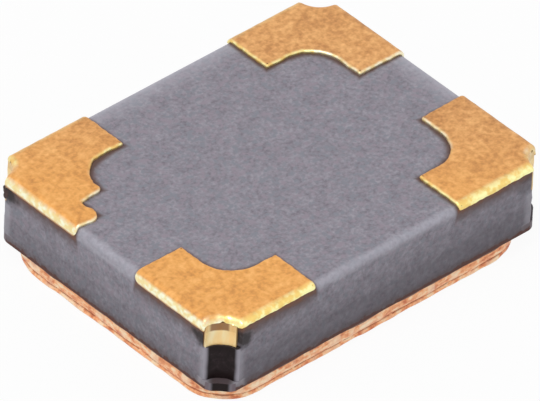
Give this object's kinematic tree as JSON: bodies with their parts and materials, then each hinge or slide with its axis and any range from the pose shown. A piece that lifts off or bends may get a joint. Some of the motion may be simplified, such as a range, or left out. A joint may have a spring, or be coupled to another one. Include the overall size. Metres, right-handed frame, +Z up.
{
  "type": "surface-mount crystal oscillator",
  "caption": "Small rectangular ceramic oscillator package with gold L-shaped corner pads, stepped corner notches and a flat metal lid on a brazed ring.",
  "frame": {"origin": "centre of the lid's outer face, on which the part lies", "axes": "+X along the package's long side, +Y along its short side, +Z up, out of the solder pads"},
  "size_m": [0.0032, 0.0024, 0.0008],
  "materials": {
    "ceramic": "matte grey co-fired alumina with fine grain",
    "pad_gold": "matte gold plating on printed tungsten, mottled, with bright worn rims",
    "braze": "dark silver-copper braze",
    "ring_metal": "copper-gold plated, satin, slightly wavy",
    "lid_metal": "copper-gold plated, satin",
    "quartz": "clear, finely lapped",
    "film_gold": "thin evaporated or printed gold",
    "glue": "silver-filled adhesive",
    "silicon": "dark polished silicon",
    "via_metal": "sintered tungsten"
  },
  "bodies": {
    "root": {"ceramic_base": "ceramic", "solder_pad_1": "pad_gold", "solder_pad_2": "pad_gold", "solder_pad_3": "pad_gold", "solder_pad_4": "pad_gold", "ring_braze": "braze", "seam_ring": "ring_metal", "lid": "lid_metal", "crystal_blank": "quartz", "electrode_floor_side": "film_gold", "electrode_lid_side": "film_gold", "crystal_glue_1": "glue", "crystal_glue_2": "glue", "crystal_land_1": "film_gold", "crystal_land_2": "film_gold", "oscillator_die": "silicon", "die_bumps": "film_gold", "die_lands": "film_gold", "crystal_vias": "via_metal", "pad_vias": "via_metal", "ring_via": "via_metal"}
  },
  "joints": []
}
